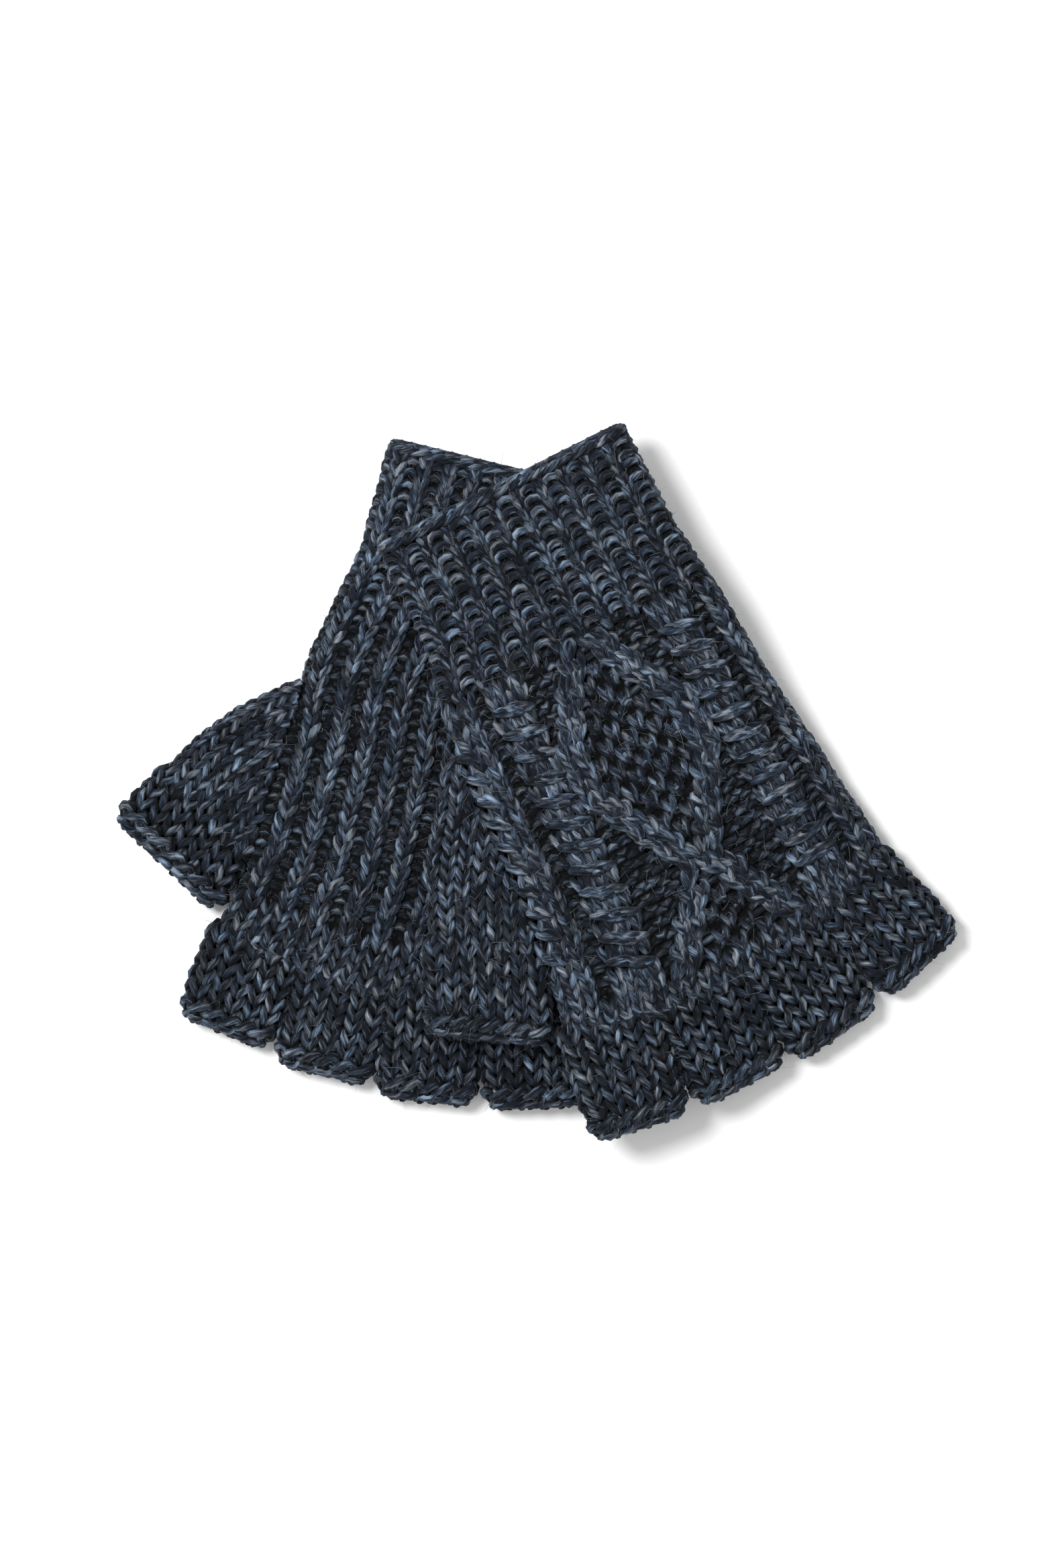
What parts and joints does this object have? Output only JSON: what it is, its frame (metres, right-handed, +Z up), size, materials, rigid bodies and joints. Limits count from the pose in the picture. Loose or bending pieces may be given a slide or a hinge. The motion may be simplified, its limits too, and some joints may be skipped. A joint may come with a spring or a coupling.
{
  "type": "fingerless gloves",
  "caption": "Pair of hand-knitted wool fingerless gloves laid one over the other: ribbed cuffs, cabled backs, ribbed palms, thumb gussets and short finger stalls.",
  "frame": {"origin": "middle of the pair's footprint, on the surface it lies on", "axes": "+Z up, away from the surface; -Y towards the fingers, +Y towards the cuffs; the right-hand glove lies under and to -X, the left-hand glove over it and to +X"},
  "size_m": [0.2527, 0.2136, 0.0255],
  "materials": {
    "ribbed_wool": "one-by-one rib in thick marled wool",
    "cabled_wool": "cables and a seed-stitch diamond in thick marled wool",
    "plain_wool": "stocking stitch in thick marled wool",
    "bound_edge": "chained edge in thick marled wool"
  },
  "bodies": {
    "right_hand": {"right_palm_panel": "ribbed_wool", "right_back_panel": "cabled_wool", "right_thumb_gusset": "plain_wool", "right_finger_forks": "plain_wool"},
    "right_cuff": {"right_cuff_rib": "ribbed_wool", "right_cast_on_edge": "bound_edge"},
    "right_thumb": {"right_thumb_stall": "plain_wool", "right_thumb_bind_off": "bound_edge"},
    "right_index": {"right_index_stall": "plain_wool", "right_index_bind_off": "bound_edge"},
    "right_middle": {"right_middle_stall": "plain_wool", "right_middle_bind_off": "bound_edge"},
    "right_ring": {"right_ring_stall": "plain_wool", "right_ring_bind_off": "bound_edge"},
    "right_little": {"right_little_stall": "plain_wool", "right_little_bind_off": "bound_edge"},
    "left_hand": {"left_palm_panel": "ribbed_wool", "left_back_panel": "cabled_wool", "left_thumb_gusset": "plain_wool", "left_finger_forks": "plain_wool"},
    "left_cuff": {"left_cuff_rib": "ribbed_wool", "left_cast_on_edge": "bound_edge"},
    "left_thumb": {"left_thumb_stall": "plain_wool", "left_thumb_bind_off": "bound_edge"},
    "left_index": {"left_index_stall": "plain_wool", "left_index_bind_off": "bound_edge"},
    "left_middle": {"left_middle_stall": "plain_wool", "left_middle_bind_off": "bound_edge"},
    "left_ring": {"left_ring_stall": "plain_wool", "left_ring_bind_off": "bound_edge"},
    "left_little": {"left_little_stall": "plain_wool", "left_little_bind_off": "bound_edge"}
  },
  "joints": [
    {"name": "left_glove_lift", "type": "slide", "parent": "right_hand", "child": "left_hand", "axis": [0, 0, 1], "range_m": [0, 0.12]},
    {"name": "right_cuff_fold", "type": "hinge", "parent": "right_hand", "child": "right_cuff", "pos_m": [-0.01678, 0.04264, 0], "axis": [0.9711, -0.2385, 0], "range_deg": [-60, 0]},
    {"name": "right_thumb_fold", "type": "hinge", "parent": "right_hand", "child": "right_thumb", "pos_m": [-0.09821, -0.00905, 0.0125], "axis": [-0.722, 0.6919, 0], "range_deg": [0, 70]},
    {"name": "right_index_fold", "type": "hinge", "parent": "right_hand", "child": "right_index", "pos_m": [-0.0828, -0.04926, 0.0125], "axis": [-0.9252, 0.3795, 0], "range_deg": [0, 80]},
    {"name": "right_middle_fold", "type": "hinge", "parent": "right_hand", "child": "right_middle", "pos_m": [-0.05666, -0.0598, 0.0125], "axis": [-0.969, 0.247, 0], "range_deg": [0, 80]},
    {"name": "right_ring_fold", "type": "hinge", "parent": "right_hand", "child": "right_ring", "pos_m": [-0.02933, -0.06549, 0], "axis": [-0.994, 0.1097, 0], "range_deg": [-80, 0]},
    {"name": "right_little_fold", "type": "hinge", "parent": "right_hand", "child": "right_little", "pos_m": [-0.00088, -0.06578, 0], "axis": [-0.9993, -0.0384, 0], "range_deg": [-80, 0]},
    {"name": "left_cuff_fold", "type": "hinge", "parent": "left_hand", "child": "left_cuff", "pos_m": [0.01267, 0.0414, 0.0255], "axis": [0.8934, 0.4493, 0], "range_deg": [0, 60]},
    {"name": "left_thumb_fold", "type": "hinge", "parent": "left_hand", "child": "left_thumb", "pos_m": [-0.01458, -0.04993, 0.0255], "axis": [-0.994, 0.1095, 0], "range_deg": [0, 70]},
    {"name": "left_index_fold", "type": "hinge", "parent": "left_hand", "child": "left_index", "pos_m": [0.02215, -0.07137, 0.0255], "axis": [-0.95, -0.3123, 0], "range_deg": [0, 80]},
    {"name": "left_middle_fold", "type": "hinge", "parent": "left_hand", "child": "left_middle", "pos_m": [0.04887, -0.06241, 0.02368], "axis": [-0.8973, -0.4415, 0], "range_deg": [0, 80]},
    {"name": "left_ring_fold", "type": "hinge", "parent": "left_hand", "child": "left_ring", "pos_m": [0.07335, -0.04898, 0.01696], "axis": [-0.8271, -0.5621, 0], "range_deg": [0, 80]},
    {"name": "left_little_fold", "type": "hinge", "parent": "left_hand", "child": "left_little", "pos_m": [0.09517, -0.03072, 0.01299], "axis": [-0.7349, -0.6782, 0], "range_deg": [0, 80]}
  ]
}
